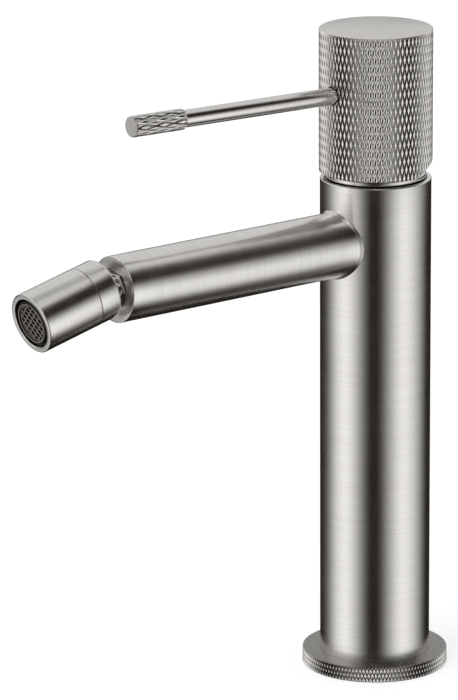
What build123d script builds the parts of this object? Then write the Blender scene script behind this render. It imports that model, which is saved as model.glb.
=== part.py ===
from build123d import *
import math
import os

# A single-lever bidet mixer: a slim column on a base ring, a level spout with a swivelling
# spray head, and a cylinder knob with a pin lever. Lengths are in millimetres.
# +Z is up, the origin is the middle of the foot's underside, spout and lever point to -Y.

# Clearances
fit = 0.05  # between pieces that screw, press or slide together
seat = 0.3  # between a piece and a seat that it doesn't press on
swing = 0.4  # round a piece that turns, slides or tips
overrun = 1.0  # how far a cut passes the face that it opens

# Cartridge: the column is sized round it
cartridge_r = 12.5
shoulder_width = 1.4
shell_wall = 0.9
base_thick = 2.5
disc_thick = 2.2
port_r = 1.2
port_cover = 0.3
port_spread = 39.4  # degrees from straight ahead to each inlet port
outlet_port_r = 1.7
pocket_depth = 1.2
pocket_back = 0.5
seal_width = 0.6
seal_thick = 0.9
shoulder_height = 4.8
carrier_floor = 1.2
carrier_flange = 1.9
carrier_half = 4.6
carrier_grip = 1.2
lug_width = 1.4
lug_half = 3.0
turret_flange = 2.0
turret_flange_width = 1.7
turret_rise = 2.4
lip_thick = 1.2
arm_length = 10.5
arm_r = 1.3
arm_ball_r = 1.7
arm_room = 0.4
spindle_side = 5.0
spindle_below = 3.0
spindle_play = 0.15
pin_r = 1.2

# Column
pocket_wall = 1.4
column_wall = 3.0
column_top = 155.3
rim_bevel = 0.5
mouth_gap = 0.35
mouth_depth = 1.3
neck_inset = 1.66
neck_show = 1.6
neck_bevel = 0.3
nut_spigot_wall = 1.2
nut_slot_width = 2.0
nut_slot_depth = 1.5
dome_wall = 0.6
dome_bevel = 0.5

# Base ring
ring_width = 5.5
ring_height = 4.7
ring_bevel = 0.3
ring_lip = 1.5
gasket_margin = 1.9
gasket_width = 2.6
gasket_thick = 1.2

# Foot and risers
inlet_r = 3.5
inlet_depth = 9.0
inlet_web = 1.6
foot_edge = 1.15
stud_depth = 12.0
throat_length = 3.0
riser_r = 3.0
riser_wall = 0.8
socket_depth = 8.0
wire_r = 0.6

# Valve block and spout
spout_drop = 18.9
spout_r = 10.0
spout_wall = 1.5
spout_reach = 99.8
spout_edge = 0.4
block_foot = 10.0
nipple_r = 6.0
nipple_wall = 2.2
nipple_root = 6.0
nipple_tail = 0.8
bush_length = 10.0
plug_length = 10.0
plug_recess = 2.0
hex_r = 5.4
hex_room = 0.9
shank_r = 4.5
shank_length = 8.0

# Ball joint and spray head
ball_out = 8.4  # from the spout's end to the ball's centre
ball_r = 7.0
ball_neck_r = 3.6
stem_bore_r = 2.0
head_droop = 13.56  # degrees below level at rest
head_r = 9.2
head_rear = 4.56
head_round = 1.0
head_seam = 2.71
head_front = 22.2
seam_bevel = 0.15
liner_wall = 0.55
liner_span = 20.0  # degrees to each side of the ball's equator
mouth_cone = 58.5  # degrees, half angle of the collar's open rear
tail_wall = 0.65
tail_length = 1.8
lip_r = 4.7
seat_hole_r = 3.0
seat_back = 4.9
seat_length = 3.1
spring_r = 0.6
web_thick = 0.8
web_r = 5.5

# Aerator
outlet_r = 7.54
outlet_bevel = 0.2
washer_thick = 0.8
thread_end = 19.6
nose_r = 6.9
nose_recess = 0.6
crest_r = 6.05
crest_recess = 0.1
throat_r = 5.75
inlet_lip = 1.1
inlet_lip_width = 0.75
mesh_pitch = 1.73
mesh_bar = 0.5
mesh_thick = 0.8
mesh_recess = 0.7
screen_depth = 3.2
screen_share = 0.5  # pitch and bars of the second grid, as a share of the first
jet_r = 0.45
jet_circle_shares = (0.35, 0.72)  # radii of the two rings of jets, as shares of the throat
jet_counts = (6, 12)
jet_thick = 1.5

# Knob
knob_proud = 0.3
knob_gap = 0.5
knob_height = 44.0
sleeve_wall = 1.5
tip_height = 9.5  # from the knob's lower edge to the pivot
tip_angle = 18.0
bevel_slope = 18.5
bevel_start = 1.6
cap_thick = 0.8
cap_bevel = 0.25
cap_spigot = 4.0
cap_wall = 1.2
hub_rise = 6.1  # from the pivot to the hub
hub_room = 7.1  # between the hub and the cap's spigot
spindle_cover = 2.5

# Lever
lever_offset = 1.05  # how far the lever lies above the hub's middle, on the knob's axis
lever_rise = 1.21  # degrees
rod_r = 2.62
rod_gap = 0.3
tenon_r = 1.9  # the rod's thinner end, inside the grip
grub_length = 5.0
grub_gap = 0.1
grub_key_r = 1.25
grub_key_depth = 1.5
grip_r = 3.2
grip_length = 18.45
grip_bevel = 0.3
grip_socket = 10.0
lever_reach = 92.7

# Sizes that follow
column_bore = cartridge_r + pocket_wall + 2 * fit
column_r = column_bore + column_wall
neck_r = column_r - neck_inset
mouth_r = neck_r + mouth_gap
neck_floor = column_top - mouth_depth
neck_top = column_top + neck_show
knob_low = neck_top + knob_gap
knob_top = knob_low + knob_height
knob_r = column_r + knob_proud
sleeve_bore = knob_r - sleeve_wall
pivot_z = knob_low + tip_height
stroke = arm_length * math.sin(math.radians(tip_angle))

arm_ball_z = pivot_z - arm_length
carrier_low = arm_ball_z - arm_ball_r - arm_room - carrier_floor
carrier_high = arm_ball_z + carrier_grip
moving_low = carrier_low - disc_thick
fixed_low = moving_low - disc_thick
cartridge_seat = fixed_low - base_thick
shoulder_z = cartridge_seat + shoulder_height
turret_low = carrier_high + seat
lip_low = turret_low + turret_flange + seat
shell_top = lip_low + lip_thick
shell_r = cartridge_r - shoulder_width
shell_bore = shell_r - shell_wall
turret_flange_r = shell_bore - swing
turret_r = turret_flange_r - turret_flange_width
carrier_r = shell_bore - stroke - swing
port_reach = carrier_r - port_r - port_cover
port_x = port_reach * math.sin(math.radians(port_spread))
port_y = -port_reach * math.cos(math.radians(port_spread))
pocket_r = port_reach - port_r - pocket_back - port_cover / 2
nut_bore = shell_r + fit
spigot_r = nut_bore + nut_spigot_wall
neck_bore = spigot_r + fit
dome_r = neck_bore + dome_wall
dome_under = shell_top + seat
dome_top = dome_under + dome_wall
dome_hole = turret_r + swing

ring_r = column_r + ring_width
wire_seat = riser_r + 2 * wire_r + 2 * fit
foot_r = column_bore - fit
riser_x = foot_r - foot_edge - wire_seat
stud_r = riser_x - inlet_r - inlet_web
riser_bore = riser_r - riser_wall
foot_high = inlet_depth + throat_length + socket_depth

spout_z = column_top - spout_drop
ball_reach = spout_reach + ball_out
spout_bore = spout_r - spout_wall
water_r = nipple_r - nipple_wall
nipple_wire_seat = nipple_r + 2 * wire_r + 2 * fit
block_low = spout_z - nipple_r - block_foot
block_top = shoulder_z - seat
bush_start = column_r + seat
bush_end = bush_start + bush_length

cavity_r = ball_r + liner_wall + 2 * fit
web_low = seat_back + seat_length + 2 * spring_r
chamber_low = web_low + web_thick
housing_low = chamber_low + washer_thick
mesh_front = head_front - mesh_recess

hub_low = pivot_z + hub_rise
hub_high = knob_top - cap_thick - cap_spigot - hub_room
lever_z = (hub_low + hub_high) / 2 + lever_offset
spindle_top = hub_high - spindle_cover
grub_start = spindle_side / 2 + grub_gap
rod_start = grub_start + grub_length + seat
grip_start = lever_reach - grip_length

# Frames whose Z runs out along the spout, the lever and the drooping head
droop = math.radians(head_droop)
rise = math.radians(lever_rise)
spout_frame = Plane((0, 0, spout_z), x_dir=(1, 0, 0), z_dir=(0, -1, 0))
ball_frame = Plane((0, -ball_reach, spout_z), x_dir=(1, 0, 0), z_dir=(0, -1, 0))
head_frame = Plane(
    (0, -ball_reach, spout_z), x_dir=(1, 0, 0), z_dir=(0, -math.cos(droop), -math.sin(droop))
)
lever_frame = Plane((0, 0, lever_z), x_dir=(1, 0, 0), z_dir=(0, -math.cos(rise), math.sin(rise)))


def post(radius, low, high, x=0, y=0):
    """A round bar along Z."""
    return Pos(x, y, (low + high) / 2) * Cylinder(radius, high - low)


def hoop(outer, inner, low, high, x=0, y=0):
    """A round tube along Z."""
    return post(outer, low, high, x, y) - post(inner, low - overrun, high + overrun, x, y)


def turned(*corners):
    """A body turned about Z from its (radius, height) corners."""
    outline = Polyline(*[(radius, 0, height) for radius, height in corners], close=True)
    return revolve(make_face(outline), Axis.Z)


def block(width, depth, low, high, y=0):
    """An upright rectangular bar, width along X and depth along Y."""
    return Pos(0, y, (low + high) / 2) * Box(width, depth, high - low)


def bar_between(start, end, radius):
    """A round bar from start to end, an overrun longer at both ends."""
    run = Vector(end) - Vector(start)
    return Plane(start, z_dir=run) * post(radius, -overrun, run.length + overrun)


def wire_ring(inner_r, z, x=0):
    """A seal of round wire that clears the bar of inner_r by a fit."""
    return Pos(x, 0, z) * Torus(inner_r + wire_r + fit, wire_r)


def wire_groove(outer, z, x=0):
    """The groove that holds a wire_ring, as a cutter."""
    return post(outer, z - wire_r - seat / 2, z + wire_r + seat / 2, x)


# Foot of the column


def make_base_ring():
    lip_inner = column_bore + fit
    tube_room = column_r + fit
    ring = turned(
        (lip_inner, 0),
        (ring_r - ring_bevel, 0),
        (ring_r, ring_bevel),
        (ring_r, ring_height - ring_bevel),
        (ring_r - ring_bevel, ring_height),
        (tube_room, ring_height),
        (tube_room, ring_lip),
        (lip_inner, ring_lip),
    )
    outer = ring_r - gasket_margin
    groove = hoop(outer + fit, outer - gasket_width - fit, -overrun, gasket_thick)
    return ring - groove


def make_base_gasket():
    outer = ring_r - gasket_margin
    return hoop(outer, outer - gasket_width, 0, gasket_thick)


def make_foot_block():
    foot = post(foot_r, 0, foot_high) - post(stud_r, -overrun, stud_depth)
    socket_floor = foot_high - socket_depth
    for x in (-riser_x, riser_x):
        foot -= post(inlet_r, -overrun, inlet_depth, x)
        foot -= post(riser_bore, 0, foot_high, x)
        foot -= post(riser_r + fit, socket_floor, foot_high + overrun, x)
        foot -= wire_groove(wire_seat, foot_high - socket_depth / 2, x)
    return foot


def make_body_tube():
    tube = turned(
        (column_bore, ring_lip),
        (column_r, ring_lip),
        (column_r, column_top - rim_bevel),
        (column_r - rim_bevel, column_top),
        (mouth_r, column_top),
        (mouth_r, neck_floor),
        (column_bore, neck_floor),
    )
    nipple_hole = spout_frame * post(nipple_r + seat, 0, column_r + overrun)
    return tube - nipple_hole


def make_riser(x):
    low = foot_high - socket_depth + seat
    high = block_low + socket_depth - seat
    return hoop(riser_r, riser_bore, low, high, x)


def make_riser_seals():
    heights = (foot_high - socket_depth / 2, block_low + socket_depth / 2)
    rings = [wire_ring(riser_r, z, x) for z in heights for x in (-riser_x, riser_x)]
    return Compound(rings)


# Valve block and spout


def make_valve_block():
    body = post(foot_r, block_low, block_top)
    body -= post(cartridge_r + fit, cartridge_seat, block_top + overrun)
    body -= spout_frame * post(nipple_r + fit, nipple_root - seat, column_r)
    body -= spout_frame * wire_groove(nipple_wire_seat, (nipple_root + column_bore) / 2)
    body -= spout_frame * post(water_r, 0, nipple_root)
    body -= post(outlet_port_r, spout_z, cartridge_seat + overrun)
    socket_top = block_low + socket_depth
    for side in (-1, 1):
        x = side * riser_x
        body -= post(riser_r + fit, block_low - overrun, socket_top, x)
        body -= wire_groove(wire_seat, block_low + socket_depth / 2, x)
        body -= bar_between((x, 0, socket_top), (side * port_x, port_y, cartridge_seat), port_r)
    return body


def make_spout_nipple():
    return spout_frame * hoop(nipple_r, water_r, nipple_root, bush_end - nipple_tail)


def make_nipple_seal():
    return spout_frame * wire_ring(nipple_r, (nipple_root + column_bore) / 2)


def make_spout_bush():
    return spout_frame * hoop(spout_bore - fit, nipple_r + fit, bush_start, bush_end)


def make_spout_tube():
    tube = turned(
        (spout_bore, 0),
        (spout_r, 0),
        (spout_r, spout_reach - spout_edge),
        (spout_r - spout_edge, spout_reach),
        (spout_bore, spout_reach),
    )
    return spout_frame * tube - post(column_r, 0, column_top)


def make_spout_end():
    plug = post(spout_bore - fit, spout_reach - plug_length, spout_reach)
    plug -= post(hex_r + hex_room, spout_reach - plug_recess, spout_reach + overrun)
    plug -= post(shank_r + fit, spout_reach - plug_length - overrun, spout_reach)
    return spout_frame * plug


def make_ball_stem():
    hex_low = spout_reach - plug_recess
    hexagon = Pos(0, 0, hex_low) * extrude(RegularPolygon(hex_r, 6), plug_recess)
    shank = post(shank_r, hex_low - shank_length, hex_low)
    neck = post(ball_neck_r, spout_reach, ball_reach)
    ball = Pos(0, 0, ball_reach) * Sphere(ball_r)
    bore = post(stem_bore_r, hex_low - shank_length - overrun, ball_reach + ball_r)
    flare_low = ball_reach + ball_r / 2
    flare_high = ball_reach + ball_r
    flare = Pos(0, 0, (flare_low + flare_high) / 2) * Cone(
        stem_bore_r, seat_hole_r, flare_high - flare_low
    )
    return spout_frame * (hexagon + shank + neck + ball - bore - flare)


# Cartridge


def port_cutters(grow, low, high):
    """The outlet port on the axis and the two inlet ports ahead of it, as cutters."""
    cutters = post(outlet_port_r + grow, low, high)
    for side in (-1, 1):
        cutters += post(port_r + grow, low, high, side * port_x, port_y)
    return cutters


def make_cartridge_base():
    base = post(cartridge_r, cartridge_seat, fixed_low)
    base -= port_cutters(0, cartridge_seat - overrun, fixed_low + overrun)
    return base - port_cutters(
        seal_width + fit, cartridge_seat - overrun, cartridge_seat + seal_thick
    )


def make_port_seals():
    low = cartridge_seat
    high = cartridge_seat + seal_thick
    return port_cutters(seal_width, low, high) - port_cutters(fit, low - overrun, high + overrun)


def make_fixed_disc():
    disc = post(shell_bore - fit, fixed_low, moving_low)
    return disc - port_cutters(0, fixed_low - overrun, moving_low + overrun)


def make_moving_disc():
    disc = post(carrier_r, moving_low, carrier_low)
    return disc - post(pocket_r, moving_low - overrun, moving_low + pocket_depth, 0, pocket_back)


def make_disc_carrier():
    flange_top = carrier_low + carrier_flange
    carrier = post(carrier_r, carrier_low, carrier_high)
    carrier &= block(2 * carrier_half, 2 * carrier_r, carrier_low, carrier_high)
    carrier += post(carrier_r, carrier_low, flange_top)
    socket_r = arm_ball_r + swing / 2
    return carrier - post(socket_r, carrier_low + carrier_floor, carrier_high + overrun)


def make_cartridge_shell():
    return turned(
        (shell_bore, fixed_low),
        (cartridge_r, fixed_low),
        (cartridge_r, shoulder_z),
        (shell_r, shoulder_z),
        (shell_r, shell_top),
        (turret_r + swing, shell_top),
        (turret_r + swing, lip_low),
        (shell_bore, lip_low),
    )


def pivot_bar(radius, length):
    """A bar along X through the pivot."""
    return Pos(0, 0, pivot_z) * Rot(0, 90, 0) * Cylinder(radius, length)


def make_cartridge_turret():
    turret_top = pivot_z + turret_rise
    turret = post(turret_flange_r, turret_low, turret_low + turret_flange)
    turret += post(turret_r, turret_low, turret_top)
    lug_low = carrier_low + carrier_flange + seat
    lug_x = carrier_half + seat + lug_width / 2
    for side in (-1, 1):
        lug = block(lug_width, 2 * lug_half, lug_low, turret_low)
        turret += Pos(side * lug_x, 0, 0) * lug
    # The arm swings forwards below the pivot, the spindle backwards above it
    front = stroke + arm_r + swing
    back = spindle_side / 2 + turret_rise * math.sin(math.radians(tip_angle)) + swing
    slot = block(
        spindle_side + 2 * spindle_play,
        front + back,
        turret_low - overrun,
        turret_top + overrun,
        (back - front) / 2,
    )
    return turret - slot - pivot_bar(pin_r + fit, 2 * turret_r + overrun)


def make_pivot_pin():
    return pivot_bar(pin_r, 2 * (turret_r - seat - pin_r / 2))


def make_spindle():
    spindle = block(spindle_side, spindle_side, pivot_z - spindle_below, spindle_top)
    spindle += post(arm_r, arm_ball_z, pivot_z - spindle_below)
    spindle += Pos(0, 0, arm_ball_z) * Sphere(arm_ball_r)
    return spindle - pivot_bar(pin_r + fit, spindle_side + overrun)


def make_retaining_nut():
    flange_top = neck_floor - seat
    spigot_top = neck_top - seat
    nut = turned(
        (nut_bore, shoulder_z),
        (foot_r, shoulder_z),
        (foot_r, flange_top),
        (spigot_r, flange_top),
        (spigot_r, spigot_top),
        (nut_bore, spigot_top),
    )
    slot = block(nut_slot_width, 2 * column_r, spigot_top - nut_slot_depth, spigot_top + overrun)
    return nut - slot - Rot(0, 0, 90) * slot


def make_neck_ring():
    return turned(
        (neck_bore, neck_floor),
        (neck_r, neck_floor),
        (neck_r, neck_top - neck_bevel),
        (neck_r - neck_bevel, neck_top),
        (dome_r, neck_top),
        (dome_r, dome_top - dome_bevel),
        (dome_r - dome_bevel, dome_top),
        (dome_hole, dome_top),
        (dome_hole, dome_under),
        (neck_bore, dome_under),
    )


# Handle


def make_knob_sleeve():
    sleeve = hoop(knob_r, sleeve_bore, knob_low, knob_top - cap_thick)
    # The rear of the lower edge slants up, so the knob can tip back over the column
    back = knob_r + overrun
    drop = bevel_start + overrun
    slope = math.tan(math.radians(bevel_slope))
    wedge = Polyline(
        (0, bevel_start - drop, knob_low - drop * slope),
        (0, back, knob_low - drop * slope),
        (0, back, knob_low + (back - bevel_start) * slope),
        close=True,
    )
    sleeve -= extrude(make_face(wedge), back, dir=(1, 0, 0), both=True)
    return sleeve - lever_frame * post(rod_r + rod_gap, 0, knob_r + overrun)


def make_knob_hub():
    hub = post(sleeve_bore - fit, hub_low, hub_high)
    socket_side = spindle_side + 2 * fit
    hub -= block(socket_side, socket_side, hub_low - overrun, spindle_top + seat)
    return hub - lever_frame * post(rod_r + fit, 0, knob_r)


def make_knob_cap():
    under = knob_top - cap_thick
    spigot_outer = sleeve_bore - fit
    return turned(
        (0, under),
        (spigot_outer - cap_wall, under),
        (spigot_outer - cap_wall, under - cap_spigot),
        (spigot_outer, under - cap_spigot),
        (spigot_outer, under),
        (knob_r, under),
        (knob_r, knob_top - cap_bevel),
        (knob_r - cap_bevel, knob_top),
        (0, knob_top),
    )


def make_grub_screw():
    end = grub_start + grub_length
    key = Pos(0, 0, end - grub_key_depth) * extrude(RegularPolygon(grub_key_r, 6), grub_key_depth)
    return lever_frame * (post(rod_r, grub_start, end) - key)


def make_lever_rod():
    rod = post(rod_r, rod_start, grip_start - fit)
    return lever_frame * (rod + post(tenon_r, rod_start, grip_start + grip_socket - seat))


def make_lever_grip():
    grip = turned(
        (0, grip_start),
        (grip_r - grip_bevel, grip_start),
        (grip_r, grip_start + grip_bevel),
        (grip_r, lever_reach - grip_bevel),
        (grip_r - grip_bevel, lever_reach),
        (0, lever_reach),
    )
    return lever_frame * (grip - post(tenon_r + fit, 0, grip_start + grip_socket))


# Spray head, with Z along its own axis and zero at the ball's centre


def make_ball_liner():
    outer = Sphere(ball_r + liner_wall + fit) - Sphere(ball_r + fit)
    half = (ball_r + liner_wall) * math.sin(math.radians(liner_span))
    return ball_frame * (outer & post(head_r, -half, half))


def make_head_collar():
    collar = turned(
        (0, -head_rear),
        (head_r, -head_rear),
        (head_r, head_seam - seam_bevel),
        (head_r - seam_bevel, head_seam),
        (0, head_seam),
    )
    rear_edge = collar.edges().filter_by(GeomType.CIRCLE).sort_by(Axis.Z)[0]
    collar = fillet(rear_edge, head_round)
    collar -= Sphere(cavity_r) + post(cavity_r, 0, head_seam + overrun)
    collar -= post(
        cavity_r + tail_wall + fit, head_seam - tail_length - seat, head_seam + overrun
    )
    deep = head_rear + overrun
    cone = Pos(0, 0, -deep / 2) * Cone(deep * math.tan(math.radians(mouth_cone)), 0, deep)
    return head_frame * (collar - cone)


def make_head_body():
    tail_r = cavity_r + tail_wall
    tail_end = head_seam - tail_length
    shell = turned(
        (cavity_r, tail_end),
        (tail_r, tail_end),
        (tail_r, head_seam),
        (head_r - seam_bevel, head_seam),
        (head_r, head_seam + seam_bevel),
        (head_r, head_front - outlet_bevel),
        (head_r - outlet_bevel, head_front),
        (outlet_r, head_front),
        (outlet_r, chamber_low),
        (web_r, chamber_low),
        (web_r, web_low),
        (cavity_r, web_low),
    )
    return head_frame * shell


def make_ball_seat():
    front = seat_back + seat_length
    ring = post(cavity_r - fit, seat_back, front) - Sphere(cavity_r + fit)
    lip = post(lip_r, seat_back, front) - Sphere(ball_r + fit)
    return head_frame * (ring + lip - post(seat_hole_r, 0, front + overrun))


def make_seat_spring():
    """The rubber ring that presses the seat on the ball."""
    middle = cavity_r - spring_r - fit
    ring = Pos(0, 0, seat_back + seat_length + spring_r) * Torus(middle, spring_r)
    return head_frame * ring


def make_aerator_washer():
    return head_frame * hoop(outlet_r - fit, web_r, chamber_low, housing_low)


def make_aerator_housing():
    nose_front = head_front - nose_recess
    crest_front = head_front - crest_recess
    housing = turned(
        (throat_r - inlet_lip_width, housing_low),
        (outlet_r - fit, housing_low),
        (outlet_r - fit, thread_end),
        (nose_r, thread_end),
        (nose_r, nose_front),
        (crest_r, crest_front),
        (throat_r, crest_front),
        (throat_r, housing_low + inlet_lip),
        (throat_r - inlet_lip_width, housing_low + inlet_lip),
    )
    return head_frame * housing


def grid_disc(pitch, bar, front):
    """A round plate of square holes, whose rows run at 45 degrees."""
    rim = throat_r - fit - bar
    rows = 2 * math.ceil(rim / pitch) + 1
    holes = Sketch() + [
        place * Rectangle(pitch - bar, pitch - bar)
        for place in GridLocations(pitch, pitch, rows, rows)
    ]
    holes = Rot(0, 0, 45) * holes & Circle(rim)
    plate = post(throat_r - fit, front - mesh_thick, front)
    return plate - Pos(0, 0, front - mesh_thick) * extrude(holes, mesh_thick)


def make_aerator_mesh():
    return head_frame * grid_disc(mesh_pitch, mesh_bar, mesh_front)


def make_aerator_screen():
    pitch = mesh_pitch * screen_share
    return head_frame * grid_disc(pitch, mesh_bar * screen_share, mesh_front - screen_depth)


def make_jet_disc():
    low = housing_low + inlet_lip
    plate = post(throat_r - fit, low, low + jet_thick)
    for share, count in zip(jet_circle_shares, jet_counts):
        for place in PolarLocations(throat_r * share, count):
            plate -= place * post(jet_r, low - overrun, low + jet_thick + overrun)
    return head_frame * plate


nodes = {
    "base_ring": make_base_ring(),
    "base_gasket": make_base_gasket(),
    "foot_block": make_foot_block(),
    "body_tube": make_body_tube(),
    "riser_cold": make_riser(riser_x),
    "riser_hot": make_riser(-riser_x),
    "riser_seals": make_riser_seals(),
    "valve_block": make_valve_block(),
    "spout_nipple": make_spout_nipple(),
    "nipple_seal": make_nipple_seal(),
    "spout_bush": make_spout_bush(),
    "spout_tube": make_spout_tube(),
    "spout_end": make_spout_end(),
    "ball_stem": make_ball_stem(),
    "cartridge_base": make_cartridge_base(),
    "port_seals": make_port_seals(),
    "fixed_disc": make_fixed_disc(),
    "moving_disc": make_moving_disc(),
    "disc_carrier": make_disc_carrier(),
    "cartridge_shell": make_cartridge_shell(),
    "cartridge_turret": make_cartridge_turret(),
    "pivot_pin": make_pivot_pin(),
    "spindle": make_spindle(),
    "retaining_nut": make_retaining_nut(),
    "neck_ring": make_neck_ring(),
    "knob_sleeve": make_knob_sleeve(),
    "knob_hub": make_knob_hub(),
    "knob_cap": make_knob_cap(),
    "grub_screw": make_grub_screw(),
    "lever_rod": make_lever_rod(),
    "lever_grip": make_lever_grip(),
    "ball_liner": make_ball_liner(),
    "head_collar": make_head_collar(),
    "head_body": make_head_body(),
    "ball_seat": make_ball_seat(),
    "seat_spring": make_seat_spring(),
    "aerator_washer": make_aerator_washer(),
    "aerator_housing": make_aerator_housing(),
    "jet_disc": make_jet_disc(),
    "aerator_screen": make_aerator_screen(),
    "aerator_mesh": make_aerator_mesh(),
}

os.makedirs("parts", exist_ok=True)
for name, piece in nodes.items():
    export_step(piece, f"parts/{name}.step")
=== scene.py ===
"""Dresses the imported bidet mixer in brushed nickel, knurls its grips and sets it in a studio."""

import logging
import math
from dataclasses import dataclass
from enum import Enum
from typing import Any, Callable, Sequence

import bmesh
import bpy
from mathutils import Matrix, Vector


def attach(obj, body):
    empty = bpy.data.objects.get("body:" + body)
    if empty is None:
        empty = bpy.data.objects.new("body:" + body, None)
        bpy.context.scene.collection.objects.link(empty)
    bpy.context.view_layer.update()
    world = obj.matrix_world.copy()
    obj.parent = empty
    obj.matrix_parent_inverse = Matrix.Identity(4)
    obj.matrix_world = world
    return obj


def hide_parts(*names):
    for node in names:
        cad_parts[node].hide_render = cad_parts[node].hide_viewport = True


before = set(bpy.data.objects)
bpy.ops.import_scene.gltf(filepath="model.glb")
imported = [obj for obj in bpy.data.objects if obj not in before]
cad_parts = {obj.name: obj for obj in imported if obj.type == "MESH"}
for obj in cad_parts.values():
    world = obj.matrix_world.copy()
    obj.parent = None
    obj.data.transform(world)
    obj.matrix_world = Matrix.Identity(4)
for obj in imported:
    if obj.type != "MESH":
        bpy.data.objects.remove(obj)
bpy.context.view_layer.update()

MM = 0.001
CREASE = 28.0  # degrees between two faces above which their edge stays sharp
SIDES = 192  # sides of a turned body
HOLE_SIDES = 64  # sides of a small drilled hole
ARC_STEPS = 4  # straight pieces in a rounded corner
ON_AXIS = 1e-6  # mm below which a corner lies on the axis
OVERCUT = 1.0  # mm that a blank passes the face that is cut on it
FLUSH = 0.01  # mm within which a face lies on the top of its piece
log = logging.getLogger("bidet_mixer")


# Shader maths


class Sock:
    """A node's output that takes part in sums, so that shader maths reads like Python."""

    def __init__(self, graph: "Graph", socket: bpy.types.NodeSocket) -> None:
        """Wraps one socket of the graph."""
        self.graph = graph
        self.socket = socket

    def __add__(self, other: "Term") -> "Sock":
        """Adds a number or a socket."""
        return self.graph.math("ADD", self, other)

    __radd__ = __add__

    def __sub__(self, other: "Term") -> "Sock":
        """Takes a number or a socket away."""
        return self.graph.math("SUBTRACT", self, other)

    def __rsub__(self, other: "Term") -> "Sock":
        """Takes this socket away from a number."""
        return self.graph.math("SUBTRACT", other, self)

    def __mul__(self, other: "Term") -> "Sock":
        """Multiplies by a number or a socket."""
        return self.graph.math("MULTIPLY", self, other)

    __rmul__ = __mul__

    def __truediv__(self, other: "Term") -> "Sock":
        """Divides by a number or a socket."""
        return self.graph.math("DIVIDE", self, other)

    def __abs__(self) -> "Sock":
        """The size without its sign."""
        return self.graph.math("ABSOLUTE", self)


Term = Sock | float
Colour = tuple[float, float, float]
Point = tuple[float, float, float]


class Graph:
    """A node tree that is being built."""

    def __init__(self, tree: bpy.types.NodeTree) -> None:
        """Empties the tree and keeps it."""
        tree.nodes.clear()
        self.tree = tree

    def node(
        self,
        kind: str,
        settings: dict[str, Any],
        values: dict[int | str, Any],
        output: int | str = 0,
    ) -> Sock:
        """Adds a node.

        Args:
            kind: the node's type, without its ShaderNode prefix.
            settings: what is set on the node itself, before its sockets.
            values: a number, tuple or Sock for each input, by its index or name.
            output: the output that is returned.

        Returns:
            The chosen output, or the first input of a node that has no output.
        """
        made = self.tree.nodes.new("ShaderNode" + kind)
        for name, setting in settings.items():
            setattr(made, name, setting)
        for key, value in values.items():
            if isinstance(value, Sock):
                self.tree.links.new(value.socket, made.inputs[key])
            else:
                made.inputs[key].default_value = value
        return Sock(self, made.outputs[output]) if made.outputs else Sock(self, made.inputs[0])

    def math(self, operation: str, *terms: Term) -> Sock:
        """One Math node on numbers or sockets."""
        return self.node("Math", {"operation": operation}, dict(enumerate(terms)))

    def vector(self, operation: str, *terms: Sock | Point, output: int = 0) -> Sock:
        """One Vector Math node on vectors."""
        return self.node("VectorMath", {"operation": operation}, dict(enumerate(terms)), output)

    def scaled(self, vector: Sock | Point, factor: Term) -> Sock:
        """A vector times a number or a socket."""
        return self.node("VectorMath", {"operation": "SCALE"}, {0: vector, "Scale": factor})

    def smooth(self, value: Term, low: float, high: float) -> Sock:
        """Rises softly from 0 at low to 1 at high."""
        settings = {"interpolation_type": "SMOOTHSTEP"}
        return self.node("MapRange", settings, {0: value, 1: low, 2: high, 3: 0.0, 4: 1.0})

    def blend(self, factor: Term, a: Sock | Colour, b: Sock | Colour) -> Sock:
        """Mixes two colours.

        Args:
            factor: the share of the second.
            a: the first colour.
            b: the second colour.

        Returns:
            The mixed colour.
        """
        first, second = (c if isinstance(c, Sock) else (*c, 1.0) for c in (a, b))
        settings = {"data_type": "RGBA", "clamp_factor": True}
        return self.node("Mix", settings, {0: factor, 6: first, 7: second}, 2)

    def noise(self, vector: Sock, scale: float, detail: float, roughness: float = 0.5) -> Sock:
        """Soft noise about 0.5."""
        values = {"Vector": vector, "Scale": scale, "Detail": detail, "Roughness": roughness}
        return self.node("TexNoise", {"noise_dimensions": "3D"}, values)

    def surface(self, kind: str, values: dict[int | str, Any]) -> None:
        """Ends the tree with a shader of this kind."""
        self.node("OutputMaterial", {}, {"Surface": self.node(kind, {}, values)})


def new_material(name: str) -> tuple[bpy.types.Material, Graph]:
    """Makes an empty node material.

    Args:
        name: the material's name.

    Returns:
        The material and the graph that fills it.
    """
    material = bpy.data.materials.new(name)
    material.use_nodes = True
    return material, Graph(material.node_tree)


# Finishes


@dataclass(frozen=True)
class Turning:
    """The axis that a piece was turned about: a point on it in mm, and its direction."""

    centre: Point = (0.0, 0.0, 0.0)
    along: Point = (0.0, 0.0, 1.0)

    def split(self, graph: Graph, place: Sock) -> tuple[Sock, Sock, Sock]:
        """Takes a place apart about the axis.

        Args:
            graph: the tree that the nodes go into.
            place: the object coordinates.

        Returns:
            How far along the axis it is, its offset from the axis, and that offset's length.
        """
        offset = graph.vector("SUBTRACT", place, tuple(c * MM for c in self.centre))
        axial = graph.vector("DOT_PRODUCT", offset, self.along, output=1)
        side = graph.vector("SUBTRACT", offset, graph.scaled(self.along, axial))
        return axial, side, graph.vector("LENGTH", side, output=1)

    def streaks(self, graph: Graph, place: Sock, length: float, width: float) -> Sock:
        """Coordinates that stretch a noise round the axis, like the marks of a brush or a tool.

        Args:
            graph: the tree that the nodes go into.
            place: the object coordinates.
            length: how long a mark is, in mm.
            width: how wide a mark is, in mm.

        Returns:
            The vector for the noise.
        """
        axial, side, radial = self.split(graph, place)
        fine = graph.scaled(self.along, (axial + radial) / (width * MM))
        return graph.vector("ADD", graph.scaled(side, 1 / (length * MM)), fine)


UPRIGHT = Turning()


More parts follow.
